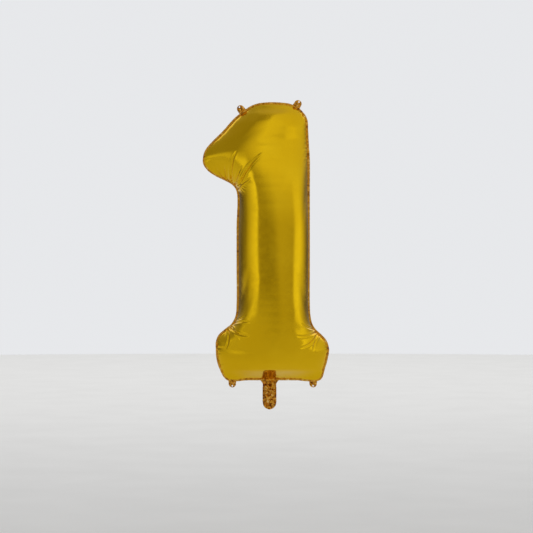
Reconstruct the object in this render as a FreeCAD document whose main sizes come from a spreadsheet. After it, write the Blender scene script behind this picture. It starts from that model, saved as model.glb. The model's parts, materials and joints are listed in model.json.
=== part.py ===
import FreeCAD, Part
import os

# A foil number balloon, the figure one, as it stands when it is full.
# Two die-cut metallised films are heat-sealed together all round. The filling neck and four
# hanging tabs stand on the seal, and a self-sealing valve tongue hangs in the gas inside.
#
# Millimetres. +Z is up, +X is to the right as the figure is read, and the front faces -Y.
# The seal lies in the plane Y = 0. The origin is where the neck leaves the middle of the base
# seam, which is where a filled balloon is tied.

DIMENSIONS = {
    # the inflated envelope; its films stand in for foil of about 0.04 mm
    "figure_height": 857.0,
    "half_depth": 98.0,
    "end_roundness": 95.0,
    "film_wall": 1.2,
    "crease_half_depth": 2.0,
    # the heat-sealed margin that stands out all round
    "seal_width": 5.0,
    "seal_thickness": 1.0,
    # the free strip between the seal and a tab or the neck, where the film bends
    "bend_strip": 2.0,
    # the filling neck
    "neck_width": 42.0,
    "neck_flare_width": 66.0,
    "neck_flare_height": 14.0,
    "neck_straight": 53.0,
    "neck_film": 0.5,
    "neck_gap": 0.6,
    "neck_weld": 5.0,
    # the valve inside the envelope
    "valve_start": 9.0,
    "valve_width": 34.0,
    "valve_length": 130.0,
    "valve_film": 0.5,
    "valve_slit": 0.5,
    "valve_weld": 4.0,
    "ink_start": 25.0,
    "ink_width": 18.0,
    "ink_length": 70.0,
    "ink_film": 0.2,
    # the hanging tabs
    "tab_width": 24.0,
    "tab_straight": 15.0,
    "tab_thickness": 0.8,
    "tab_hole_radius": 2.5,
}

# Level cuts through the inflated figure, from the base seam to the crown:
# the name, the height, and the left and right edges of the film at that height.
STATIONS = (
    ("seam", 0.0, -130.0, 155.0),
    ("sole", 11.0, -139.0, 160.0),
    ("heel", 32.0, -151.0, 168.0),
    ("foot_low", 60.0, -160.0, 176.0),
    ("foot_wide", 93.0, -163.0, 181.0),
    ("foot_high", 118.0, -162.0, 173.0),
    ("instep", 135.0, -154.0, 158.0),
    ("ankle_low", 152.0, -135.0, 140.0),
    ("ankle", 170.0, -114.0, 129.0),
    ("ankle_high", 197.0, -101.0, 123.0),
    ("stem_low", 232.0, -98.0, 121.0),
    ("stem_high", 585.0, -98.0, 121.0),
    ("crotch", 606.0, -107.0, 121.0),
    ("flag_root", 620.0, -130.0, 121.0),
    ("flag_under", 634.0, -162.0, 121.0),
    ("flag_low", 655.0, -190.0, 121.0),
    ("flag_tip", 683.0, -203.0, 121.0),
    ("flag_high", 708.0, -198.0, 120.0),
    ("brow_low", 733.0, -178.0, 118.0),
    ("brow", 770.0, -141.0, 116.0),
    ("temple", 808.0, -107.0, 113.0),
    ("crown_low", 829.0, -81.0, 100.0),
    ("crown_mid", 844.0, -60.0, 83.0),
    ("crown_high", 853.0, -38.0, 61.0),
    ("top", 857.0, -8.0, 26.0),
)

# Each hanging tab: its label, the station and side whose edge it grows from, how far along X
# from that edge, and how far it leans from straight up, clockwise as seen from the front.
TABS = (
    ("top_left_tab", "crown_low", "left", 0.0, -36.0),
    ("top_right_tab", "crown_mid", "right", -2.0, 30.0),
    ("base_left_tab", "seam", "left", 14.0, 180.0),
    ("base_right_tab", "seam", "right", -19.0, 180.0),
)

doc = FreeCAD.newDocument("foil_number_balloon")
sheet = doc.addObject("Spreadsheet::Sheet", "Dimensions")
sub_parts = []


def fill_sheet():
    cells = dict(DIMENSIONS)
    for name, height, left, right in STATIONS:
        cells[f"{name}_height"] = height
        cells[f"{name}_left"] = left
        cells[f"{name}_right"] = right
    for label, _station, _side, along, lean in TABS:
        cells[f"{label}_along"] = along
        cells[f"{label}_lean"] = lean
    for row, (alias, value) in enumerate(cells.items(), start=1):
        sheet.set(f"A{row}", alias)
        sheet.set(f"B{row}", str(value))
        sheet.setAlias(f"B{row}", alias)
    doc.recompute()


def bind(item, formulas):
    """Binds each property of an object to a formula; <name> in a formula is a cell of the sheet."""
    for path, formula in formulas.items():
        item.setExpression(path, formula.replace("<", "Dimensions.").replace(">", ""))
    return item


def solid(kind, name, formulas):
    return bind(doc.addObject(kind, name), formulas)


def cut(name, base, tool):
    item = doc.addObject("Part::Cut", name)
    item.Base = base
    item.Tool = tool
    return item


def fuse(name, shapes):
    item = doc.addObject("Part::MultiFuse", name)
    item.Shapes = shapes
    item.Refine = True
    return item


def sub_part(item, label):
    """Marks an object as a piece of the balloon. Its label names its file."""
    item.Label = label
    sub_parts.append(item)
    return item


def envelope_loft(name, inset):
    """The inflated figure as a stack of level ellipses, shrunk all over by the inset formula."""
    rings = []
    for station, _height, _left, _right in STATIONS:
        left = f"<{station}_left>"
        right = f"<{station}_right>"
        height = f"<{station}_height>"
        end = f"min({height}; <figure_height> - {height}; <end_roundness>) / <end_roundness>"
        ring = solid("Part::Ellipse", f"{name}_{station}", {
            "MajorRadius": f"({right} - {left}) / 2 - {inset}",
            "MinorRadius": f"<crease_half_depth> + <half_depth> * sqrt(1 - (1 - {end}) ^ 2) - {inset}",
            "Placement.Base.x": f"({left} + {right}) / 2",
            "Placement.Base.z": height,
        })
        rings.append(ring)
    bind(rings[0], {"Placement.Base.z": f"<seam_height> + {inset}"})
    bind(rings[-1], {"Placement.Base.z": f"<top_height> - {inset}"})
    loft = doc.addObject("Part::Loft", name)
    loft.Sections = rings
    loft.Solid = True
    loft.Ruled = True
    return loft


def make_envelope():
    """The front and back films: one hollow shell, parted along the seal plane."""
    outer = envelope_loft("Outer", "0")
    inner = envelope_loft("Inner", "<film_wall>")
    shell = cut("Shell", outer, inner)
    room = {
        "Length": "<foot_wide_right> - <flag_tip_left> + 200",
        "Width": "<half_depth> * 2",
        "Height": "<figure_height> + 200",
        "Placement.Base.x": "<flag_tip_left> - 100",
        "Placement.Base.z": "-100",
    }
    behind = solid("Part::Box", "BehindSeal", room)
    before = solid("Part::Box", "BeforeSeal", {**room, "Placement.Base.y": "-<half_depth> * 2"})
    sub_part(cut("FrontPanel", shell, behind), "front_foil_panel")
    sub_part(cut("BackPanel", shell, before), "back_foil_panel")


def make_seal():
    """The sealed margin: the films' outline in the seal plane, grown by the seal's width."""
    edges = []
    for side in ("left", "right"):
        heights = [sheet.get(f"{station[0]}_height") for station in STATIONS]
        across = [sheet.get(f"{station[0]}_{side}") for station in STATIONS]
        edges.append([FreeCAD.Vector(x, 0, z) for x, z in zip(across, heights)])
    left, right = edges
    seam = Part.makePolygon(left + right[::-1] + left[:1])
    edge = seam.makeOffset2D(sheet.seal_width)
    thickness = FreeCAD.Vector(0, sheet.seal_thickness, 0)
    grown = Part.Face(edge).extrude(thickness)
    inside = Part.Face(seam).extrude(thickness)
    seal = doc.addObject("Part::Feature", "Seal")
    seal.Shape = grown.cut(inside).Solids[0]
    seal.Placement.Base.y = -sheet.seal_thickness / 2
    sub_part(seal, "heat_seal_rim")


def make_neck():
    """Two films with a gap between them, flared at the root and round at the mouth."""
    root = "-<seal_width> - <bend_strip>"
    flare_end = f"{root} - <neck_flare_height>"
    mouth = f"{flare_end} - <neck_straight>"
    faces = {"front": "-<neck_gap> / 2 - <neck_film>", "back": "<neck_gap> / 2"}
    for side, near in faces.items():
        flare = solid("Part::Wedge", f"NeckFlare_{side}", {
            "Xmin": "-<neck_flare_width> / 2",
            "Xmax": "<neck_flare_width> / 2",
            "X2min": "-<neck_width> / 2",
            "X2max": "<neck_width> / 2",
            "Ymax": "<neck_flare_height>",
            "Zmax": "<neck_film>",
            "Z2max": "<neck_film>",
            "Placement.Base.y": near,
            "Placement.Base.z": root,
        })
        flare.Ymin = 0
        flare.Zmin = 0
        flare.Z2min = 0
        flare.Placement.Rotation = FreeCAD.Rotation(FreeCAD.Vector(1, 0, 0), -90)
        strip = solid("Part::Box", f"NeckStrip_{side}", {
            "Length": "<neck_width>",
            "Width": "<neck_film>",
            "Height": "<neck_straight>",
            "Placement.Base.x": "-<neck_width> / 2",
            "Placement.Base.y": near,
            "Placement.Base.z": mouth,
        })
        end = round_end(f"NeckEnd_{side}", "<neck_width> / 2", "<neck_film>")
        bind(end, {"Placement.Base.y": f"{near} + <neck_film>", "Placement.Base.z": mouth})
        sub_part(fuse(f"NeckFilm_{side}", [flare, strip, end]), f"neck_{side}_film")
    edges = {"left": "-<neck_width> / 2", "right": "<neck_width> / 2 - <neck_weld>"}
    for side, edge in edges.items():
        weld = solid("Part::Box", f"NeckWeld_{side}", {
            "Length": "<neck_weld>",
            "Width": "<neck_gap>",
            "Height": "<neck_straight>",
            "Placement.Base.x": edge,
            "Placement.Base.y": "-<neck_gap> / 2",
            "Placement.Base.z": mouth,
        })
        sub_part(weld, f"neck_{side}_weld")


def round_end(name, radius, thickness):
    """A disc that lies in the seal plane, from its own place towards the front."""
    disc = solid("Part::Cylinder", name, {"Radius": radius, "Height": thickness})
    disc.Placement.Rotation = FreeCAD.Rotation(FreeCAD.Vector(1, 0, 0), 90)
    return disc


def make_valve():
    """The tongue inside: two films welded at their edges, with release ink between them."""
    faces = {"front": "-<valve_slit> / 2 - <valve_film>", "back": "<valve_slit> / 2"}
    for side, near in faces.items():
        film = solid("Part::Box", f"ValveFilm_{side}", {
            "Length": "<valve_width>",
            "Width": "<valve_film>",
            "Height": "<valve_length>",
            "Placement.Base.x": "-<valve_width> / 2",
            "Placement.Base.y": near,
            "Placement.Base.z": "<valve_start>",
        })
        sub_part(film, f"valve_{side}_film")
    edges = {"left": "-<valve_width> / 2", "right": "<valve_width> / 2 - <valve_weld>"}
    for side, edge in edges.items():
        weld = solid("Part::Box", f"ValveWeld_{side}", {
            "Length": "<valve_weld>",
            "Width": "<valve_slit>",
            "Height": "<valve_length>",
            "Placement.Base.x": edge,
            "Placement.Base.y": "-<valve_slit> / 2",
            "Placement.Base.z": "<valve_start>",
        })
        sub_part(weld, f"valve_{side}_weld")
    ink = solid("Part::Box", "ReleaseInk", {
        "Length": "<ink_width>",
        "Width": "<ink_film>",
        "Height": "<ink_length>",
        "Placement.Base.x": "-<ink_width> / 2",
        "Placement.Base.y": "-<valve_slit> / 2",
        "Placement.Base.z": "<valve_start> + <ink_start>",
    })
    sub_part(ink, "valve_release_ink")


def make_tab(label, station, side):
    """A punched tab. It is drawn upright on its own root line, then leaned and moved to the rim."""
    plate = solid("Part::Box", f"Plate_{label}", {
        "Length": "<tab_width>",
        "Width": "<tab_thickness>",
        "Height": "<tab_straight>",
        "Placement.Base.x": "-<tab_width> / 2",
        "Placement.Base.y": "-<tab_thickness> / 2",
    })
    end = round_end(f"End_{label}", "<tab_width> / 2", "<tab_thickness>")
    bind(end, {"Placement.Base.y": "<tab_thickness> / 2", "Placement.Base.z": "<tab_straight>"})
    hole = round_end(f"Hole_{label}", "<tab_hole_radius>", "<tab_thickness> * 3")
    bind(hole, {"Placement.Base.y": "<tab_thickness> * 1.5", "Placement.Base.z": "<tab_straight>"})
    tab = cut(f"Tab_{label}", fuse(f"Blank_{label}", [plate, end]), hole)
    tab.Placement.Rotation = FreeCAD.Rotation(FreeCAD.Vector(0, 1, 0), 0)
    reach = "(<seal_width> + <bend_strip>)"
    lean = f"<{label}_lean>"
    bind(tab, {
        "Placement.Rotation.Axis.x": "0",
        "Placement.Rotation.Axis.y": "1",
        "Placement.Rotation.Axis.z": "0",
        "Placement.Rotation.Angle": f"{lean} * 1 deg",
        "Placement.Base.x": f"<{station}_{side}> + <{label}_along> + {reach} * sin({lean} * 1 deg)",
        "Placement.Base.z": f"<{station}_height> + {reach} * cos({lean} * 1 deg)",
    })
    sub_part(tab, label)


def check_and_export():
    doc.recompute()
    for item in doc.Objects:
        if "Invalid" in item.State or "Error" in item.State:
            raise RuntimeError(f"{item.Label} failed: {item.State}")
    os.makedirs("parts", exist_ok=True)
    for item in sub_parts:
        shape = item.Shape
        if shape.isNull() or not shape.isValid() or len(shape.Solids) != 1:
            raise RuntimeError(f"{item.Label} is not one valid solid")
        shape.exportStep(f"parts/{item.Label}.step")
        box = shape.BoundBox
        print(f"{item.Label:20s} {shape.Volume:12.1f} mm3   Z {box.ZMin:7.1f} to {box.ZMax:7.1f}")


fill_sheet()
make_envelope()
make_seal()
make_neck()
make_valve()
for label, station, side, _along, _lean in TABS:
    make_tab(label, station, side)
check_and_export()
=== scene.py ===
import collections
import json
import math
import random

import bpy
import numpy as np
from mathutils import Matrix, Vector, geometry, kdtree


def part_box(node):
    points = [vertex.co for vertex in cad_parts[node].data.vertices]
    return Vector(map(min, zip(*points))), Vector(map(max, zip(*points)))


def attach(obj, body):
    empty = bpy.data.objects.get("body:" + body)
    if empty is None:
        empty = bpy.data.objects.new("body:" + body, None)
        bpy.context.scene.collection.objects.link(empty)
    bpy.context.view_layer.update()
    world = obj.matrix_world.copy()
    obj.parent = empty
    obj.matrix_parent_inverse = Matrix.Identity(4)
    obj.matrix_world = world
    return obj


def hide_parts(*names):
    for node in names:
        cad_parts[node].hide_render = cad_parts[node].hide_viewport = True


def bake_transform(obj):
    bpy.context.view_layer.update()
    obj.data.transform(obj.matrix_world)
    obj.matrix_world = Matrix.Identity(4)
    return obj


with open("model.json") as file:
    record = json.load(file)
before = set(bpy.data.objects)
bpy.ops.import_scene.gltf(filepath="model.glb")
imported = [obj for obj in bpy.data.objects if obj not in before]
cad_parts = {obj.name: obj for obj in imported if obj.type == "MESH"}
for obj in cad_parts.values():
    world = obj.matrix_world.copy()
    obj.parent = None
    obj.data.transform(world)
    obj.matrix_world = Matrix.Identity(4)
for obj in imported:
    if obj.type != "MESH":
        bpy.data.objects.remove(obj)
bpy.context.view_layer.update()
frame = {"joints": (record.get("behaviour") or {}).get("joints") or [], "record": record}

# A full foil number balloon. Its two films are cut flat, joined at the rim and blown up by a
# cloth simulation that draws the rim in to the full balloon's outline. The filled film is then
# evened out and given the depth in DEPTHS, and its folds and puckers are laid on as listed and by
# formula. Metres, in the CAD model's frame.

# The film's edge in millimetres, anticlockwise from the base seam's right end as seen from the
# front. Each stretch says how far its flat cut lay outside the full outline, sideways and
# upwards, and then gives the full outline's x and z.
EDGE = (
    ((15, -15), ((155, 0), (168, 32), (176, 60), (181, 93), (173, 118))),
    ((40, 0), ((158, 135), (140, 152), (129, 170))),
    ((60, 0), ((123, 197), (121, 232), (121, 350), (121, 470), (121, 585))),
    ((15, 10), ((121, 683), (118, 733), (116, 770), (113, 808), (100, 829))),
    ((5, 20), ((83, 844), (61, 853), (26, 857), (-8, 857), (-38, 853), (-60, 844))),
    ((-5, 25), ((-81, 829), (-107, 808), (-141, 770), (-178, 733))),
    ((-10, 25), ((-196, 711), (-203, 688), (-202, 671))),
    ((-30, 15), ((-190, 653), (-164, 635), (-137, 622))),
    ((-45, 0), ((-112, 607),)),
    ((-60, 0), ((-98, 585), (-98, 470), (-98, 350), (-98, 232), (-101, 197))),
    ((-40, -5), ((-114, 170), (-135, 152), (-154, 135))),
    ((-15, -20), ((-162, 118), (-163, 93), (-160, 60), (-151, 32))),
    ((0, -40), ((-130, 0), (-65, 0), (0, 0), (80, 0))),
)
MILLIMETRE = 0.001
CURVE_STEPS = 12

# The cut films' mesh, and how the cloth simulation draws them in and fills them.
MESH_STEP = 0.0085
RIM_CLEARANCE = 0.6
SPREAD_ROUNDS = 700
FIRST_GAP = 0.002
CLOTH_FRAMES = 22
DRAW_FRAMES = 14
PRESSURE = 28.0
BENDING = 25.0

# How the filled film is evened out: the share of the raw film that stays, and the power that
# makes the flattened section round again.
SMOOTH_ROUNDS = 75
ROUGH_SHARE = 0.08
ROUNDNESS = 0.74
SUBDIVISIONS = 2
# Half the balloon's depth by height: full from the foot up, then thinner towards the crown.
DEPTHS = ((0.000, 0.000), (0.012, 0.050), (0.035, 0.080), (0.070, 0.094), (0.120, 0.097),
          (0.300, 0.097), (0.500, 0.096), (0.650, 0.092), (0.750, 0.084), (0.800, 0.073),
          (0.835, 0.054), (0.850, 0.034), (0.857, 0.000))
DEPTH_BANDS = 34
DEPTH_RANGE = (0.004, 0.850)
DEPTH_LIMITS = (0.5, 2.0)
DEPTH_WINDOW = 5

# Folds at the crotches, in millimetres of the front view: start, end, bow aside, depth, width.
CREASES = (
    ((-117, 612), (-102, 708), 8, 2.6, 4.4),
    ((-92, 606), (-22, 700), 8, 2.6, 4.6),
    ((-108, 604), (-84, 660), 3, 1.8, 3.6),
    ((-134, 622), (-141, 670), 3, 1.8, 3.4),
    ((-150, 630), (-168, 668), 3, 1.4, 3.2),
    ((-98, 592), (-58, 622), 3, 1.6, 3.6),
    ((-126, 163), (-58, 138), -10, 2.2, 4.2),
    ((-130, 156), (-137, 92), 6, 2.0, 4.2),
    ((-118, 172), (-60, 178), 4, 1.2, 3.8),
    ((-110, 182), (-70, 204), -4, 1.0, 3.6),
    ((-122, 166), (-88, 118), 4, 1.0, 3.6),
    ((150, 141), (94, 98), 8, 2.2, 4.2),
    ((146, 146), (84, 136), 5, 1.4, 3.8),
    ((154, 136), (136, 88), -5, 1.6, 3.8),
    ((138, 156), (98, 176), 4, 1.1, 3.6),
)
CREASE_GAIN = 2.0
CREASE_ONSET = 4 * MILLIMETRE
CREASE_FADE = 0.8
CREASE_LIPS = 1.6
# Pleats round each crotch: centre in the front view, number, reach, height.
GATHERS = (
    ((-98, 604), 20, 17, 1.8),
    ((-126, 166), 14, 14, 1.3),
    ((152, 146), 14, 14, 1.3),
)
GATHER_ONSET = 4 * MILLIMETRE
GATHER_FADE = 1.5
GATHER_WAVES = (0.03, 0.05)
GATHER_WOBBLE = 0.25
# Pleats flatten out where the film turns away from the front or the back by more than this.
STEEP = 0.6
# The back film's folds, as a share of the front's.
BACK_STRENGTH = 0.5
FOLD_EASE = 6 * MILLIMETRE

# Puckers beside the seal. The cut rim's spare length, as a share, has to pass a threshold.
SPARE_WINDOW = 15
SPARE_LIMIT = 0.5
PUCKER_LENGTHS = (0.009, 0.013, 0.021)
PUCKER_REACH = 9 * MILLIMETRE
PUCKER_HEIGHT = 2.2 * MILLIMETRE
PUCKER_ONSET = 2 * MILLIMETRE
PUCKER_GAIN = 3.6
PUCKER_THRESHOLD = 0.03
PUCKER_CUTOFF = 5

# The sealed border round the rim: its rows from inside the rim outwards, and its ruffle.
SEAL_WIDTH = 5 * MILLIMETRE
SEAL_HALF = 0.4 * MILLIMETRE
SEAL_STEP = 1.8 * MILLIMETRE
SEAL_ROWS = tuple(out * MILLIMETRE for out in (-1.5, 0.0, 1.3, 2.6, 3.8, 5.0))
RUFFLE = 2.4 * MILLIMETRE
RUFFLE_LEAST = 0.25
RUFFLE_GAIN = 3.2
RUFFLE_LENGTHS = (0.007, 0.0105, 0.017, 0.031)
NOTCH = 0.4 * MILLIMETRE
NOTCH_LENGTHS = (0.009, 0.013, 0.022)

# The neck and the tabs, crumpled where they are not held.
FINE_STEP = 1.6 * MILLIMETRE
FILM = 0.4 * MILLIMETRE
FOLD_SLOPE = 0.13
# Degrees between the points of a rounded end.
ROUND_STEP = 15

NECK_HALF = 21 * MILLIMETRE
NECK_TOP = -16 * MILLIMETRE
NECK_EASE = 0.02
NECK_ROOM = 4 * MILLIMETRE
FILM_GAP = 0.5 * MILLIMETRE
NECK_EDGE = 4.5 * MILLIMETRE
EDGE_THICKNESS = 0.8 * MILLIMETRE
EDGE_PROUD = 0.6 * MILLIMETRE
EDGE_BELOW = 0.003
NECK_FOLDS = tuple(size * MILLIMETRE for size in (26, 18, 13, 10, 8, 6))
PLEAT = 9.5 * MILLIMETRE
PLEAT_HEIGHT = 2.2 * MILLIMETRE
PLEAT_BELOW = 0.012
PLEAT_REACH = 0.009

TAB_WIDTH = 23 * MILLIMETRE
TAB_LENGTH = 27 * MILLIMETRE
TAB_UNDER = 2 * MILLIMETRE
TAB_FLARE = 1.12
TAB_EASE = 0.008
TAB_FOLDS = tuple(size * MILLIMETRE for size in (22, 16, 11, 8))
HOLE_RADIUS = 2.5 * MILLIMETRE
HOLE_OUT = 22 * MILLIMETRE
HOLE_SIDES = 20

VALVE_STEP = 3 * MILLIMETRE
VALVE_THICKNESS = 0.8
VALVE_WAVE = 3 * MILLIMETRE
VALVE_WAVELENGTH = 0.062
VALVE_STRAIGHT = 0.012
VALVE_EASE = 0.05

# Seeds of the random draws.
FRONT_SEED = 51
BACK_SEED = 52
RUFFLE_SEED = 5
NOTCH_SEED = 6
NECK_SEED = 21
TAB_SEED = 30

# Tints, dark to light, as places along a noise and colours.
GOLD_TINTS = ((0.30, (0.84, 0.505, 0.006)), (0.70, (0.90, 0.56, 0.009)))
# The sealed border: its own orange-brown in the middle stops, a painted glint at the cream end and
# painted shade at the near-black end.
SEALED_TINTS_PAINTED_GLINTS_AND_SHADE = ((0.30, (0.16, 0.04, 0.005)), (0.42, (0.66, 0.30, 0.03)),
                (0.62, (0.84, 0.46, 0.05)), (0.72, (1.0, 0.80, 0.40)))
# The crumpled film: its own orange-gold in the middle stops, a painted glint at the cream end and
# painted shade at the near-black end.
CRUMPLED_TINTS_PAINTED_GLINTS_AND_SHADE = ((0.34, (0.14, 0.03, 0.006)), (0.46, (0.55, 0.22, 0.02)),
                  (0.60, (0.80, 0.40, 0.04)), (0.74, (1.0, 0.74, 0.36)))
VALVE_TINTS = ((0.3, (0.80, 0.82, 0.82)), (0.7, (0.88, 0.89, 0.88)))
INK_TINTS = ((0.3, (0.42, 0.55, 0.60)), (0.7, (0.50, 0.62, 0.66)))
FLOOR_TINTS = ((0.3, (0.85, 0.85, 0.84)), (0.7, (0.88, 0.88, 0.87)))

# The studio's brightness by degrees to the right of the camera, as the balloon sees it: level
# with the balloon, and overhead. The second takes over between two heights of the ray.
PANELS = ((-180, 0.14), (-125, 0.10), (-94, 0.24), (-52, 0.80), (-37, 0.94), (-30, 0.30),
          (-8, 0.22), (5, 0.25), (16, 0.43), (46, 0.37), (54, 0.84), (70, 0.92), (106, 0.34),
          (128, 0.12), (180, 0.14))
OVERHEAD = ((-180, 0.50), (-120, 0.34), (-55, 0.28), (-22, 0.58), (0, 0.74), (70, 0.66), (180, 0.50))
OVERHEAD_START = (-0.05, 0.34)
# What the camera sees behind the balloon in the studio's place.
BACKDROP = (0.80, 0.81, 0.83)
FLOOR_RADIUS = 15.0
FLOOR_SIDES = 96
FLOOR_Z = -0.60
# The softbox over the floor behind the balloon.
SOFTBOX_PLACE = (0.0, 11.0, 5.0)
SOFTBOX_SIZE = (18.0, 17.0)
SOFTBOX_RADIANCE = 0.50
CAMERA_PLACE = (-0.0094, -6.0, 0.350)
CAMERA_LENS = 130


# ---------------------------------------------------------------- curves and noise

def closed_curve(points, steps):
    """A smooth closed curve through points, with the same number of steps between each two."""
    count = len(points)
    rows = []
    for i in range(count):
        p = [points[(i + k - 1) % count] for k in range(4)]
        knots = [0.0]
        for a, b in zip(p, p[1:]):
            knots.append(knots[-1] + math.sqrt(max(1e-6, float(np.linalg.norm(b - a)))))
        for t in np.linspace(knots[1], knots[2], steps, endpoint=False):
            rows.append(cubic_point(p, knots, t))
    return np.array(rows)


def cubic_point(p, knots, t):
    """One point of the centripetal Catmull-Rom curve through four points, between the middle two."""
    first = [between(p[j], p[j + 1], knots[j], knots[j + 1], t) for j in range(3)]
    second = [between(first[j], first[j + 1], knots[j], knots[j + 2], t) for j in range(2)]
    return between(second[0], second[1], knots[1], knots[2], t)


def between(a, b, start, end, t):
    """The place between a and b that t has between start and end."""
    share = (t - start) / (end - start)
    return (1 - share) * a + share * b


def evenly(curve, step):
    """Places along a closed curve at an even spacing, as the curve's own running index."""
    closed = np.vstack([curve, curve[:1]])
    run = np.concatenate([[0], np.cumsum(np.linalg.norm(np.diff(closed, axis=0), axis=1))])
    count = int(round(run[-1] / step))
    return np.interp(np.linspace(0, run[-1], count, endpoint=False), run, np.arange(len(run)))


def at_index(curve, index):
    """Points of a closed curve at places along its running index."""
    closed = np.vstack([curve, curve[:1]])
    places = np.arange(len(closed))
    return np.stack([np.interp(index, places, closed[:, k]) for k in range(curve.shape[1])], 1)


def folds(points, sizes, seed):
    """Crumple height at each 2-D point: folded paper, as triangle waves in random directions."""
    draw = random.Random(seed)
    height = np.zeros(len(points))
    for size in sizes:
        angle = draw.uniform(0, math.tau)
        phase = draw.uniform(0, 1)
        along = points @ np.array([math.cos(angle), math.sin(angle)])
        wave = np.abs(((along / size + phase) % 1.0) - 0.5) * 4 - 1
        height += wave * size * draw.uniform(0.35, 1.0)
    return height


def ripple(run, lengths, seed):
    """A wandering wave along a run, as a sum of sines of the given lengths, about -1 to 1."""
    draw = random.Random(seed)
    total = np.zeros(len(run))
    for length in lengths:
        total += draw.uniform(0.5, 1.0) * np.sin(math.tau * run / length + draw.uniform(0, math.tau))
    return total / math.sqrt(len(lengths))


# ---------------------------------------------------------------- the film's cut and its filling

def edge_curves():
    """The rim as a closed curve, full and in the flat cut, point for point.

    The cut's moves are averaged over three points, so that the stretches join smoothly.
    """
    full = np.array([point for _move, points in EDGE for point in points], float) * MILLIMETRE
    moves = np.array([move for move, points in EDGE for _ in points], float) * MILLIMETRE
    moves = (np.roll(moves, 1, axis=0) + moves + np.roll(moves, -1, axis=0)) / 3
    flat = full + moves
    return closed_curve(full, CURVE_STEPS), closed_curve(flat, CURVE_STEPS)


def inside(loop, point):
    """Whether a point lies within a loop."""
    x, z = point
    ax, az = loop[:, 0], loop[:, 1]
    bx, bz = np.roll(ax, 1), np.roll(az, 1)
    crossed = ((az > z) != (bz > z)) & (x < (bx - ax) * (z - az) / (bz - az + 1e-12) + ax)
    return bool(crossed.sum() % 2)


def grid_inside(loop, step):
    """A triangular grid of points inside the loop, none close to it."""
    points = []
    low, high = loop.min(axis=0), loop.max(axis=0)
    for row, z in enumerate(np.arange(low[1], high[1], step * math.sqrt(3) / 2)):
        for x in np.arange(low[0] + (row % 2) * step / 2, high[0], step):
            gap = ((loop - (x, z)) ** 2).sum(axis=1).min()
            if gap > (RIM_CLEARANCE * step) ** 2 and inside(loop, (x, z)):
                points.append((x, z))
    return points


def cut_film(flat_curve, index):
    """One film in the flat cut: its points, rim first, its triangles and the rim's size."""
    rim = at_index(flat_curve, index)
    count = len(rim)
    points = [Vector(p) for p in rim] + [Vector(p) for p in grid_inside(rim, MESH_STEP)]
    ring = [(i, (i + 1) % count) for i in range(count)]
    placed, _edges, faces, origin, *_rest = geometry.delaunay_2d_cdt(points, ring, [], 1, 1e-6)
    order = sorted(range(len(placed)), key=lambda i: min(origin[i]))
    rank = {old: new for new, old in enumerate(order)}
    spots = np.array([placed[i] for i in order])
    triangles = [[rank[i] for i in face] for face in faces]
    triangles = [t if signed_area(spots[t]) > 0 else t[::-1] for t in triangles]
    return spots, [t for t in triangles if max(t) >= count], count


def signed_area(corners):
    """Twice a triangle's area, above zero when it turns anticlockwise."""
    a, b, c = corners
    return (b[0] - a[0]) * (c[1] - a[1]) - (c[0] - a[0]) * (b[1] - a[1])


def mesh_links(faces, size):
    """Both ends of every edge, and how many edges meet at each point."""
    pairs = {tuple(sorted(edge)) for face in faces for edge in zip(face, face[1:] + face[:1])}
    a, b = np.array(sorted(pairs)).T
    return a, b, np.bincount(np.concatenate([a, b]), minlength=size)[:, None]


def linked_sum(values, a, b):
    """The sum of the values at each point's neighbours."""
    size = len(values)
    sums = [np.bincount(a, column[b], size) + np.bincount(b, column[a], size) for column in values.T]
    return np.stack(sums, 1)


def spread(spots, triangles, count, rim_full):
    """Moves the flat cut so that its rim lies on the full outline, and the rest follows evenly."""
    a, b, degree = mesh_links(triangles, len(spots))
    move = np.zeros_like(spots)
    held = rim_full - spots[:count]
    move[:count] = held
    for _ in range(SPREAD_ROUNDS):
        move = linked_sum(move, a, b) / np.maximum(degree, 1)
        move[:count] = held
    return spots + move


def envelope_mesh(spots, full, triangles, count):
    """Both films joined at the rim in the flat cut, with a shape key for the rim drawn in."""
    spare = len(spots) - count

    def behind(face):
        return tuple(i if i < count else i + spare for i in face[::-1])

    faces = [tuple(face) for face in triangles] + [behind(face) for face in triangles]

    def layered(points):
        front = [(x, 0.0 if i < count else -FIRST_GAP, z) for i, (x, z) in enumerate(points)]
        return front + [(x, FIRST_GAP, z) for x, z in points[count:]]

    mesh = bpy.data.meshes.new("envelope_cut")
    mesh.from_pydata(layered(spots), [], faces)
    obj = bpy.data.objects.new("envelope_cut", mesh)
    bpy.context.scene.collection.objects.link(obj)
    obj.shape_key_add(name="flat")
    drawn = obj.shape_key_add(name="drawn in")
    drawn.data.foreach_set("co", np.array(layered(full)).ravel())
    for number, value in ((1, 0.0), (DRAW_FRAMES, 1.0)):
        drawn.value = value
        drawn.keyframe_insert("value", frame=number)
    rim = obj.vertex_groups.new(name="rim")
    rim.add(list(range(count)), 1.0, "REPLACE")
    return obj


def cloth_on(obj):
    """Gives the envelope a stiff film's cloth settings, gas pressure and a held rim."""
    cloth = obj.modifiers.new("cloth", "CLOTH")
    film = cloth.settings
    film.quality = 10
    film.mass = 0.02
    film.tension_stiffness = 100
    film.compression_stiffness = 100
    film.shear_stiffness = 20
    film.bending_stiffness = BENDING
    film.tension_damping = 15
    film.compression_damping = 15
    film.shear_damping = 15
    film.bending_damping = 0.5
    film.air_damping = 2
    film.effector_weights.gravity = 0
    film.use_pressure = True
    film.uniform_pressure_force = PRESSURE
    film.vertex_group_mass = "rim"
    film.pin_stiffness = 1.0
    cloth.collision_settings.use_collision = False
    cloth.collision_settings.use_self_collision = False
    cloth.point_cache.frame_start = 1
    cloth.point_cache.frame_end = CLOTH_FRAMES


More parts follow.
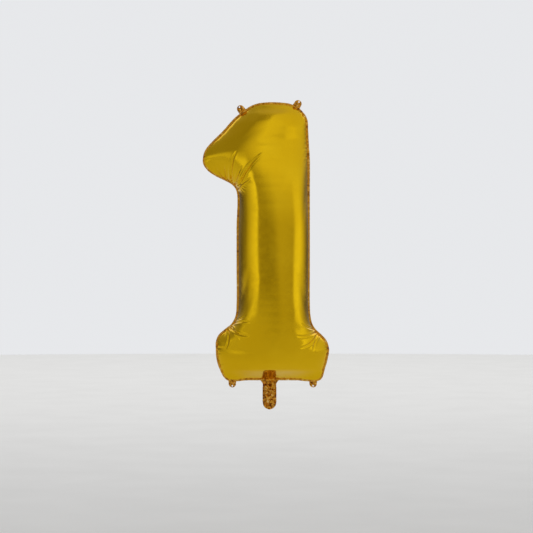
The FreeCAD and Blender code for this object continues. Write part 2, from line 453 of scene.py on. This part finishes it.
def inflate(obj):
    """Runs the simulation, returns where the envelope's points come to and removes the object."""
    cloth_on(obj)
    scene = bpy.context.scene
    for number in range(1, CLOTH_FRAMES + 1):
        scene.frame_set(number)
    final = obj.evaluated_get(bpy.context.evaluated_depsgraph_get()).to_mesh()
    places = vectors(final.vertices, "co")
    bpy.data.objects.remove(obj)
    scene.frame_set(1)
    return places


def filled_envelope():
    """Cuts, joins and fills the envelope.

    Returns its points, then one film's triangles, number of points and number on the rim.
    """
    full_curve, flat_curve = edge_curves()
    index = evenly(flat_curve, MESH_STEP)
    spots, triangles, count = cut_film(flat_curve, index)
    full = spread(spots, triangles, count, at_index(full_curve, index))
    places = inflate(envelope_mesh(spots, full, triangles, count))
    return places, triangles, len(spots), count


# ---------------------------------------------------------------- meshes

def new_object(name, points, faces):
    mesh = bpy.data.meshes.new(name)
    mesh.from_pydata([tuple(p) for p in points], [], [tuple(f) for f in faces])
    mesh.update()
    mesh.polygons.foreach_set("use_smooth", [True] * len(mesh.polygons))
    obj = bpy.data.objects.new(name, mesh)
    bpy.context.scene.collection.objects.link(obj)
    return obj


def vectors(items, field):
    """One vector field of a mesh's vertices, as rows."""
    values = np.empty(len(items) * 3)
    items.foreach_get(field, values)
    return values.reshape(-1, 3)


def triangulated(loop, step, hole=None):
    """Points and triangles that fill a loop, less a hole, with the loop's own points first."""
    rings = [loop] if hole is None else [loop, hole]
    points = [Vector(p) for ring in rings for p in ring]
    edges = []
    start = 0
    for ring in rings:
        edges += [(start + i, start + (i + 1) % len(ring)) for i in range(len(ring))]
        start += len(ring)
    points += [Vector(p) for p in grid_inside(loop, step) if hole is None or clear_of(hole, p, step)]
    placed, _edges, faces, *_rest = geometry.delaunay_2d_cdt(points, edges, [], 1, 1e-7)
    spots = np.array(placed)
    kept = []
    for face in faces:
        if hole is None or not inside(hole, spots[face].mean(axis=0)):
            kept.append(face if signed_area(spots[face]) > 0 else face[::-1])
    return spots, kept


def clear_of(hole, point, step):
    gap = ((hole - point) ** 2).sum(axis=1).min()
    return gap > (0.5 * step) ** 2 and not inside(hole, point)


def thin_sheet(name, loop, lift, thickness, step, hole=None):
    """A closed thin film over a loop of x and z. lift gives its middle's y at each point."""
    spots, faces = triangulated(loop, step, hole)
    middle = lift(spots)
    size = len(spots)
    front = np.stack([spots[:, 0], middle - thickness / 2, spots[:, 1]], 1)
    behind = np.stack([spots[:, 0], middle + thickness / 2, spots[:, 1]], 1)
    both = [tuple(f) for f in faces] + [tuple(i + size for i in f[::-1]) for f in faces]
    used = collections.Counter((a, b) for f in faces for a, b in zip(f, f[1:] + f[:1]))
    walls = [(b, a, a + size, b + size) for a, b in used if (b, a) not in used]
    return new_object(name, np.vstack([front, behind]), both + walls)


def fullness(places):
    """How much deeper each point has to be for the balloon to be as deep as DEPTHS says."""
    heights = np.linspace(*DEPTH_RANGE, DEPTH_BANDS)
    reach = heights[1] - heights[0]
    deepest = [np.abs(places[np.abs(places[:, 2] - z) < reach, 1]).max() for z in heights]
    window = np.ones(DEPTH_WINDOW) / DEPTH_WINDOW
    deepest = np.convolve(np.pad(deepest, DEPTH_WINDOW // 2, "edge"), window, "valid")
    wanted = np.interp(heights, *zip(*DEPTHS))
    return np.interp(places[:, 2], heights, np.clip(wanted / deepest, *DEPTH_LIMITS))


def smoothed(places, faces, held):
    """Evens out the filled film, as pressure does to film stiffer than the cloth. The rim stays.

    The evening flattens the section, so its depth is then made full and round again.
    """
    a, b, degree = mesh_links(faces, len(places))
    even = places.copy()
    for _ in range(SMOOTH_ROUNDS):
        even = (even + linked_sum(even, a, b) / degree) / 2
        even[:held] = places[:held]
    depth = np.abs(even[:, 1])
    even[:, 1] = np.sign(even[:, 1]) * (depth / depth.max()) ** ROUNDNESS * depth.max()
    even[:, 1] *= fullness(even)
    return places * ROUGH_SHARE + even * (1 - ROUGH_SHARE)


def subdivided(obj):
    """Turns the object's subdivision into real mesh."""
    smoother = obj.modifiers.new("smoother", "SUBSURF")
    smoother.levels = SUBDIVISIONS
    smoother.render_levels = SUBDIVISIONS
    graph = bpy.context.evaluated_depsgraph_get()
    mesh = bpy.data.meshes.new_from_object(obj.evaluated_get(graph))
    obj.modifiers.clear()
    obj.data = mesh


def rim_spare(full, flat):
    """How much longer the cut rim was than the full one, at each place: what has to pucker."""
    spare = np.clip(reach_across(flat) / reach_across(full) - 1, 0, SPARE_LIMIT)
    window = np.ones(SPARE_WINDOW) / SPARE_WINDOW
    return np.convolve(np.tile(spare, 3), window, "same")[len(spare):2 * len(spare)]


def reach_across(rim):
    """The distance between each rim point's two neighbours."""
    return np.linalg.norm(np.roll(rim, -1, axis=0) - np.roll(rim, 1, axis=0), axis=1)


def fine_rim():
    """The full rim and the cut rim at the sealed border's spacing, point for point."""
    full_curve, flat_curve = edge_curves()
    index = evenly(full_curve, SEAL_STEP)
    return at_index(full_curve, index), at_index(flat_curve, index)


def rim_puckers(spots, seed):
    """Small pleats that run in from the seal where the rim has spare film."""
    rim, flat = fine_rim()
    spare = rim_spare(rim, flat)
    wave = ripple(np.arange(len(rim)) * SEAL_STEP, PUCKER_LENGTHS, seed)
    tree = kdtree.KDTree(len(rim))
    for i, (x, z) in enumerate(rim):
        tree.insert((x, z, 0), i)
    tree.balance()
    height = np.zeros(len(spots))
    for i, (x, z) in enumerate(spots):
        _place, near, gap = tree.find((x, z, 0))
        if gap < PUCKER_CUTOFF * PUCKER_REACH:
            share = PUCKER_GAIN * max(0.0, spare[near] - PUCKER_THRESHOLD)
            height[i] = wave[near] * share * math.exp(-gap / PUCKER_REACH)
            height[i] *= min(1.0, gap / PUCKER_ONSET)
    return PUCKER_HEIGHT * height


def crease(spots, start, end, bow, depth, width):
    """A fold that leaves start, bows aside by bow and dies out at end: a valley between two lips."""
    start, end = np.array(start) * MILLIMETRE, np.array(end) * MILLIMETRE
    chord = end - start
    length = np.linalg.norm(chord)
    along = (spots - start) @ chord / length ** 2
    aside = (spots - start) @ np.array((-chord[1], chord[0])) / length
    inner = np.clip(along, 0, 1)
    off = (aside - 4 * bow * MILLIMETRE * inner * (1 - inner)) / (width * MILLIMETRE)
    before = np.exp(-(np.minimum(along, 0) * length / CREASE_ONSET) ** 2)
    ends = before * np.clip(1 - along, 0, 1) ** CREASE_FADE
    section = (1 - CREASE_LIPS * off ** 2) * np.exp(-off ** 2)
    return -CREASE_GAIN * depth * MILLIMETRE * ends * section


def crotch_gathers(spots, centre, pleats, reach, height, seed):
    """Pleats that radiate from a place where the outline turns inwards."""
    away = spots - np.array(centre) * MILLIMETRE
    gap = np.linalg.norm(away, axis=1)
    turn = np.arctan2(away[:, 1], away[:, 0])
    wobble = ripple(gap, GATHER_WAVES, seed) * GATHER_WOBBLE
    fade = np.exp(-(gap / (reach * MILLIMETRE)) ** GATHER_FADE) * np.clip(gap / GATHER_ONSET, 0, 1)
    return height * MILLIMETRE * np.abs(np.sin(pleats / 2 * turn + wobble)) * fade


def creased(obj, seed, strength):
    """Adds the folds at the crotches and the puckers at the rim, along the film's own normals."""
    places = vectors(obj.data.vertices, "co")
    normals = vectors(obj.data.vertices, "normal")
    spots = places[:, [0, 2]]
    facing = np.clip(np.abs(normals[:, 1]) / STEEP, 0, 1)
    height = rim_puckers(spots, seed)
    for row in CREASES:
        height += strength * crease(spots, *row)
    for row in GATHERS:
        height += strength * facing * crotch_gathers(spots, *row, seed)
    height *= np.clip(np.abs(places[:, 1]) / FOLD_EASE, 0, 1)
    places += normals * height[:, None]
    obj.data.vertices.foreach_set("co", places.ravel())
    obj.data.update()


def envelope_films():
    places, triangles, size, count = filled_envelope()
    back = [i if i < count else i + size - count for i in range(size)]
    behind = [tuple(back[i] for i in t[::-1]) for t in triangles]
    places = smoothed(places, [tuple(t) for t in triangles] + behind, count)
    front_film = new_object("front_film", places[:size], triangles)
    back_film = new_object("back_film", places[back], [t[::-1] for t in triangles])
    for film, seed, strength in ((front_film, FRONT_SEED, 1.0), (back_film, BACK_SEED, BACK_STRENGTH)):
        subdivided(film)
        creased(film, seed, strength)
    return front_film, back_film


def seal_rim():
    """The sealed border: a thin flange that ruffles where the full rim is shorter than its cut."""
    full, flat = fine_rim()
    chord = np.roll(full, -1, axis=0) - np.roll(full, 1, axis=0)
    across = np.stack([chord[:, 1], -chord[:, 0]], 1) / np.linalg.norm(chord, axis=1)[:, None]
    run = np.arange(len(full)) * SEAL_STEP
    height = RUFFLE * (RUFFLE_LEAST + RUFFLE_GAIN * rim_spare(full, flat))
    height = height * ripple(run, RUFFLE_LENGTHS, RUFFLE_SEED)
    inward = np.abs(NOTCH * ripple(run, NOTCH_LENGTHS, NOTCH_SEED))
    layers = []
    for side in (-1, 1):
        for out in SEAL_ROWS:
            share = max(0.0, out / SEAL_WIDTH)
            spot = full + across * (out - share * inward)[:, None]
            layers.append(np.stack([spot[:, 0], side * SEAL_HALF + height * share, spot[:, 1]], 1))
    return new_object("sealed_border", np.vstack(layers), seal_faces(len(SEAL_ROWS), len(full)))


def seal_faces(rows, size):
    """The faces of a closed flange from two layers of rows, each of size points round the rim."""
    def at(layer, row, i):
        return (layer * rows + row) * size + i % size

    last = rows - 1
    faces = []
    for i in range(size):
        for row in range(last):
            faces.append((at(0, row, i), at(0, row + 1, i), at(0, row + 1, i + 1), at(0, row, i + 1)))
            faces.append((at(1, row, i), at(1, row, i + 1), at(1, row + 1, i + 1), at(1, row + 1, i)))
        faces.append((at(0, last, i), at(1, last, i), at(1, last, i + 1), at(0, last, i + 1)))
        faces.append((at(0, 0, i), at(0, 0, i + 1), at(1, 0, i + 1), at(1, 0, i)))
    return faces


# ---------------------------------------------------------------- the neck

def neck_loop():
    """The neck's outline, from its flared root at the seam down to its rounded mouth."""
    low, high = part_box("neck_front_film")
    root = high.x
    centre = low.z + NECK_HALF
    right = [(root, 0.0), (root - 4 * MILLIMETRE, -4 * MILLIMETRE)]
    right += [(NECK_HALF + 3 * MILLIMETRE, -10 * MILLIMETRE), (NECK_HALF, NECK_TOP)]
    right += [(NECK_HALF, centre)]
    turns = [math.radians(a) for a in range(-ROUND_STEP, -180, -ROUND_STEP)]
    mouth = [(NECK_HALF * math.cos(a), centre + NECK_HALF * math.sin(a)) for a in turns]
    left = [(-x, z) for x, z in right[::-1]]
    return along_loop(np.array(right + mouth + left), FINE_STEP)


def along_loop(points, step):
    """The same loop with its points at an even spacing."""
    return at_index(points, evenly(points, step))


def neck_crumple(points):
    """How far the crumpled neck stands off its plane: nothing at the seam, most lower down."""
    depth = np.clip(-points[:, 1] / NECK_EASE, 0, 1)
    creases = folds(points, NECK_FOLDS, NECK_SEED)
    band = np.exp(-((points[:, 1] + PLEAT_BELOW) / PLEAT_REACH) ** 2)
    pleats = np.sin(math.tau * points[:, 0] / PLEAT) * band
    return depth * creases * FOLD_SLOPE + pleats * PLEAT_HEIGHT * depth


def neck_bulge(points):
    """Half the room between the neck's films: none along the sealed edges."""
    edge = np.clip(1 - (np.abs(points[:, 0]) / NECK_HALF) ** 2, 0, 1)
    return FILM_GAP + NECK_ROOM * edge * np.clip(-points[:, 1] / NECK_EASE, 0, 1)


def neck_pieces():
    loop = neck_loop()
    front = thin_sheet("neck_front", loop, lambda p: neck_crumple(p) - neck_bulge(p), FILM, FINE_STEP)
    back = thin_sheet("neck_back", loop, lambda p: neck_crumple(p) + neck_bulge(p), FILM, FINE_STEP)
    pieces = [front, back]
    for name, side in (("neck_left_edge", -1), ("neck_right_edge", 1)):
        strip = neck_edge(loop, side)
        pieces.append(thin_sheet(name, strip, neck_crumple, EDGE_THICKNESS, FINE_STEP))
    return pieces, loop


def neck_edge(loop, side):
    """The outline of one sealed edge of the neck, a little proud of the films' own edge."""
    low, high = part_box("neck_left_weld")
    outer = [p for p in loop if p[0] * side > 0 and high.z - EDGE_BELOW > p[1] > low.z]
    outer.sort(key=lambda p: p[1])
    outer = np.array(outer)
    inner = outer.copy()
    inner[:, 0] -= side * NECK_EDGE
    outer[:, 0] += side * EDGE_PROUD
    ring = np.vstack([outer, inner[::-1]])
    return along_loop(ring, FINE_STEP)


# ---------------------------------------------------------------- the tabs

def tab_frames():
    """Where each tab stands: its root on the rim and the way it points, from its joint and hole."""
    holes = {m["name"].removesuffix("_hole"): m for m in frame["record"]["mounts"]}
    found = {}
    for joint in frame["joints"]:
        name = joint["child"]
        short = name.removesuffix("_tab")
        if short in holes:
            anchor = Vector(joint["pos_m"])
            hole = Vector(holes[short]["pos_m"])
            way = (hole - anchor).normalized()
            found[name] = (hole - way * HOLE_OUT, way, hole)
    return found


def tab_loop(root, way):
    """A tab's outline: parallel sides that widen a little at the root, and a rounded end."""
    side = np.array((way.z, -way.x))
    out = np.array((way.x, way.z))
    base = np.array((root.x, root.z))
    half = TAB_WIDTH / 2
    turns = [math.radians(a) for a in range(0, 181, ROUND_STEP)]
    straight = TAB_LENGTH - half
    local = [(-half * TAB_FLARE, -TAB_UNDER)]
    local += [(-half * math.cos(a), straight + half * math.sin(a)) for a in turns]
    local += [(half * TAB_FLARE, -TAB_UNDER)]
    points = np.array([base + side * u + out * v for u, v in local])
    if np.sum(points[:, 0] * np.roll(points[:, 1], -1) - np.roll(points[:, 0], -1) * points[:, 1]) < 0:
        points = points[::-1]
    return along_loop(points, FINE_STEP)


def tab_piece(name, root, way, hole, seed):
    """One crumpled tab with its punched hole, and its outline."""
    loop = tab_loop(root, way)
    turns = np.linspace(0, math.tau, HOLE_SIDES, endpoint=False)
    ring = np.stack([hole.x + HOLE_RADIUS * np.cos(turns), hole.z + HOLE_RADIUS * np.sin(turns)], 1)
    out = np.array((way.x, way.z))
    base = np.array((root.x, root.z))

    def lift(points):
        depth = np.clip(((points - base) @ out) / TAB_EASE, 0, 1)
        return depth * folds(points, TAB_FOLDS, seed) * FOLD_SLOPE

    return thin_sheet(name, loop, lift, FILM, FINE_STEP, hole=ring), loop


# ---------------------------------------------------------------- the valve

def valve_piece(node):
    """One layer of the valve, which hangs inside the envelope, in its CAD box; and its outline."""
    low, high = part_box(node)
    corners = [(low.x, low.z), (high.x, low.z), (high.x, high.z), (low.x, high.z)]
    loop = along_loop(np.array(corners), VALVE_STEP)
    middle = (low.y + high.y) / 2
    thickness = (high.y - low.y) * VALVE_THICKNESS

    def lift(points):
        return middle + valve_wave(points)

    name = node.replace("valve_", "valve.") + ".shown"
    return thin_sheet(name, loop, lift, thickness, VALVE_STEP), loop


def valve_wave(points):
    """The slow wave of a limp film, none where the valve is welded to the neck."""
    up = np.clip((points[:, 1] - VALVE_STRAIGHT) / VALVE_EASE, 0, 1)
    return VALVE_WAVE * up * np.sin(math.tau * points[:, 1] / VALVE_WAVELENGTH)


# ---------------------------------------------------------------- materials

def shader(name):
    """A new node material: itself, its nodes, its links and its surface shader."""
    material = bpy.data.materials.new(name)
    material.use_nodes = True
    nodes = material.node_tree.nodes
    return material, nodes, material.node_tree.links, nodes["Principled BSDF"]


def noise(nodes, links, scale):
    """A soft random pattern that lies in the object's own space."""
    place = nodes.new("ShaderNodeTexCoord")
    texture = nodes.new("ShaderNodeTexNoise")
    texture.inputs["Scale"].default_value = scale
    texture.inputs["Detail"].default_value = 3.0
    links.new(place.outputs["Object"], texture.inputs["Vector"])
    return texture.outputs["Fac"]


def ramp(nodes, links, value, stops):
    """Colours along a value, from (place, colour) pairs."""
    node = nodes.new("ShaderNodeValToRGB")
    while len(node.color_ramp.elements) < len(stops):
        node.color_ramp.elements.new(0.5)
    for element, (place, colour) in zip(node.color_ramp.elements, stops):
        element.position = place
        element.color = (*colour, 1)
    links.new(value, node.inputs["Fac"])
    return node.outputs["Color"]


def spread_of(nodes, links, value, low, high):
    """A noise value's middle part, spread between two levels."""
    node = nodes.new("ShaderNodeMapRange")
    node.inputs["From Min"].default_value = 0.35
    node.inputs["From Max"].default_value = 0.65
    node.inputs["To Min"].default_value = low
    node.inputs["To Max"].default_value = high
    links.new(value, node.inputs["Value"])
    return node.outputs["Result"]


def bump(nodes, links, target, value, strength, distance):
    node = nodes.new("ShaderNodeBump")
    node.inputs["Strength"].default_value = strength
    node.inputs["Distance"].default_value = distance
    links.new(value, node.inputs["Height"])
    links.new(node.outputs["Normal"], target.inputs["Normal"])


def foil(name, stops, rough, texture_scale, strength):
    """Metal-coated film: the given tints, with a fine grain that varies its gloss."""
    material, nodes, links, surface = shader(name)
    surface.inputs["Metallic"].default_value = 1.0
    tint = noise(nodes, links, texture_scale)
    links.new(ramp(nodes, links, tint, stops), surface.inputs["Base Color"])
    grain = noise(nodes, links, texture_scale * 6)
    links.new(spread_of(nodes, links, grain, *rough), surface.inputs["Roughness"])
    bump(nodes, links, surface, noise(nodes, links, texture_scale * 3), strength, 0.001)
    return material


def clear_film(name, stops, scale):
    material, nodes, links, surface = shader(name)
    surface.inputs["Roughness"].default_value = 0.35
    tint = noise(nodes, links, scale)
    links.new(ramp(nodes, links, tint, stops), surface.inputs["Base Color"])
    bump(nodes, links, surface, tint, 0.15, 0.0005)
    return material


def gold_foil():
    return foil("gold_film", GOLD_TINTS, rough=(0.13, 0.19), texture_scale=9.0, strength=0.03)


def sealed_foil_painted_glints_and_shade():
    # The seal's own orange-brown, speckled with painted glints and painted shade.
    return foil("sealed_film_painted_glints_and_shade", SEALED_TINTS_PAINTED_GLINTS_AND_SHADE, rough=(0.22, 0.40), texture_scale=95.0, strength=0.5)


def crumpled_foil_painted_glints_and_shade():
    # The crumpled film's own orange-gold, speckled with painted glints and painted shade.
    return foil("crumpled_film_painted_glints_and_shade", CRUMPLED_TINTS_PAINTED_GLINTS_AND_SHADE, rough=(0.14, 0.30), texture_scale=120.0, strength=0.4)


def valve_plastic():
    return clear_film("valve_plastic", VALVE_TINTS, scale=60.0)


def release_coating():
    return clear_film("release_coating", INK_TINTS, scale=90.0)


def floor_paper():
    material, nodes, links, surface = shader("floor_paper")
    surface.inputs["Roughness"].default_value = 0.9
    links.new(ramp(nodes, links, noise(nodes, links, 3.0), FLOOR_TINTS), surface.inputs["Base Color"])
    return material


def paint(obj, material):
    obj.data.materials.clear()
    obj.data.materials.append(material)


# ---------------------------------------------------------------- the room

def studio_light():
    """A soft rectangular light that faces down on the floor behind the balloon."""
    data = bpy.data.lights.new("softbox", "AREA")
    data.shape = "RECTANGLE"
    data.size, data.size_y = SOFTBOX_SIZE
    data.energy = SOFTBOX_RADIANCE * math.pi * data.size * data.size_y
    light = bpy.data.objects.new("softbox", data)
    light.location = SOFTBOX_PLACE
    bpy.context.scene.collection.objects.link(light)


def eased(nodes, links, value, low, high):
    """A value's way from low to high, as 0 to 1 with a soft start and end."""
    node = nodes.new("ShaderNodeMapRange")
    node.interpolation_type = "SMOOTHSTEP"
    node.inputs["From Min"].default_value = low
    node.inputs["From Max"].default_value = high
    links.new(value, node.inputs["Value"])
    return node.outputs["Result"]


def mixed(nodes, links, share, low, high):
    """A mix of two colours, each a plain colour or another node's output."""
    node = nodes.new("ShaderNodeMix")
    node.data_type = "RGBA"
    links.new(share, node.inputs["Factor"])
    for name, value in (("A", low), ("B", high)):
        socket = next(i for i in node.inputs if i.name == name and i.type == "RGBA")
        if isinstance(value, tuple):
            socket.default_value = (*value, 1)
        else:
            links.new(value, socket)
    return next(o for o in node.outputs if o.type == "RGBA")


def panel_tint(level):
    """A panel's colour: a little greener where it is bright and redder where it is dim."""
    return level, level * (0.93 + 0.12 * level), level


def turn_round(nodes, links, split):
    """A ray's heading, from the camera's side round to the right, with 0 to 1 for a full turn."""
    towards = nodes.new("ShaderNodeMath")
    towards.operation = "MULTIPLY"
    towards.inputs[1].default_value = -1.0
    links.new(split.outputs["Y"], towards.inputs[0])
    turn = nodes.new("ShaderNodeMath")
    turn.operation = "ARCTAN2"
    links.new(split.outputs["X"], turn.inputs[0])
    links.new(towards.outputs[0], turn.inputs[1])
    share = nodes.new("ShaderNodeMapRange")
    share.inputs["From Min"].default_value = -math.pi
    share.inputs["From Max"].default_value = math.pi
    links.new(turn.outputs[0], share.inputs["Value"])
    return share.outputs["Result"]


def panel_colours(nodes, links, share, row):
    """A row of panels as colours round the balloon."""
    stops = [((angle + 180) / 360, panel_tint(level)) for angle, level in row]
    return ramp(nodes, links, share, stops)


def studio_world():
    """Soft and dark panels all round and overhead, and a plain pale backdrop for the camera."""
    world = bpy.data.worlds.new("studio")
    bpy.context.scene.world = world
    world.use_nodes = True
    nodes, links = world.node_tree.nodes, world.node_tree.links
    place = nodes.new("ShaderNodeTexCoord")
    split = nodes.new("ShaderNodeSeparateXYZ")
    links.new(place.outputs["Generated"], split.inputs["Vector"])
    share = turn_round(nodes, links, split)
    level = panel_colours(nodes, links, share, PANELS)
    overhead = panel_colours(nodes, links, share, OVERHEAD)
    up = eased(nodes, links, split.outputs["Z"], *OVERHEAD_START)
    studio = mixed(nodes, links, up, level, overhead)
    seen = nodes.new("ShaderNodeLightPath")
    shown = mixed(nodes, links, seen.outputs["Is Camera Ray"], studio, BACKDROP)
    links.new(shown, nodes["Background"].inputs["Color"])


def room():
    studio_world()
    studio_light()
    turns = np.linspace(0, math.tau, FLOOR_SIDES, endpoint=False)
    edge = [(FLOOR_RADIUS * math.cos(a), FLOOR_RADIUS * math.sin(a), FLOOR_Z) for a in turns]
    floor = new_object("floor", edge, [range(len(edge))])
    paint(floor, floor_paper())


def camera():
    data = bpy.data.cameras.new("camera")
    data.lens = CAMERA_LENS
    data.sensor_width = 36
    eye = bpy.data.objects.new("camera", data)
    eye.location = CAMERA_PLACE
    eye.rotation_euler = (math.pi / 2, 0, 0)
    bpy.context.scene.collection.objects.link(eye)
    bpy.context.scene.camera = eye


# ---------------------------------------------------------------- assembly

def declare(node):
    """Hides the CAD film that a piece of foil stands for."""
    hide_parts(node)


def build_envelope(sealed):
    """The two films and the border that joins them."""
    _full, flat_curve = edge_curves()
    front_film, back_film = envelope_films()
    border = seal_rim()
    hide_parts("heat_seal_rim")
    gold = gold_foil()
    for piece, material in ((front_film, gold), (back_film, gold), (border, sealed)):
        paint(piece, material)
        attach(piece, "envelope")
    declare("front_foil_panel")
    declare("back_foil_panel")


def build_neck(sealed, crumpled):
    """The neck's two films and its sealed edges."""
    (neck_front, neck_back, left_edge, right_edge), loop = neck_pieces()
    for edge, node in ((left_edge, "neck_left_weld"), (right_edge, "neck_right_weld")):
        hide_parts(node)
        paint(edge, sealed)
    declare("neck_front_film")
    declare("neck_back_film")
    for film in (neck_front, neck_back):
        paint(film, crumpled)
    for piece in (neck_front, neck_back, left_edge, right_edge):
        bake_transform(piece)


def build_tabs(crumpled):
    """The four holed tabs."""
    for number, (name, (root, way, hole)) in enumerate(sorted(tab_frames().items())):
        piece, loop = tab_piece(name + ".film", root, way, hole, TAB_SEED + number)
        paint(piece, crumpled)
        declare(name)
        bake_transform(piece)


def build_valve():
    """The valve's films, sealed edges and release coating."""
    clear, coating = valve_plastic(), release_coating()
    for node in ("valve_front_film", "valve_back_film", "valve_left_weld", "valve_right_weld"):
        piece, loop = valve_piece(node)
        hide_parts(node)
        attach(piece, "valve")
        paint(piece, clear)
    ink, _loop = valve_piece("valve_release_ink")
    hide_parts("valve_release_ink")
    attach(ink, "valve")
    paint(ink, coating)


def build():
    sealed, crumpled = sealed_foil_painted_glints_and_shade(), crumpled_foil_painted_glints_and_shade()
    build_envelope(sealed)
    build_neck(sealed, crumpled)
    build_tabs(crumpled)
    build_valve()


build()
room()
camera()
bpy.context.scene.view_settings.view_transform = "Standard"
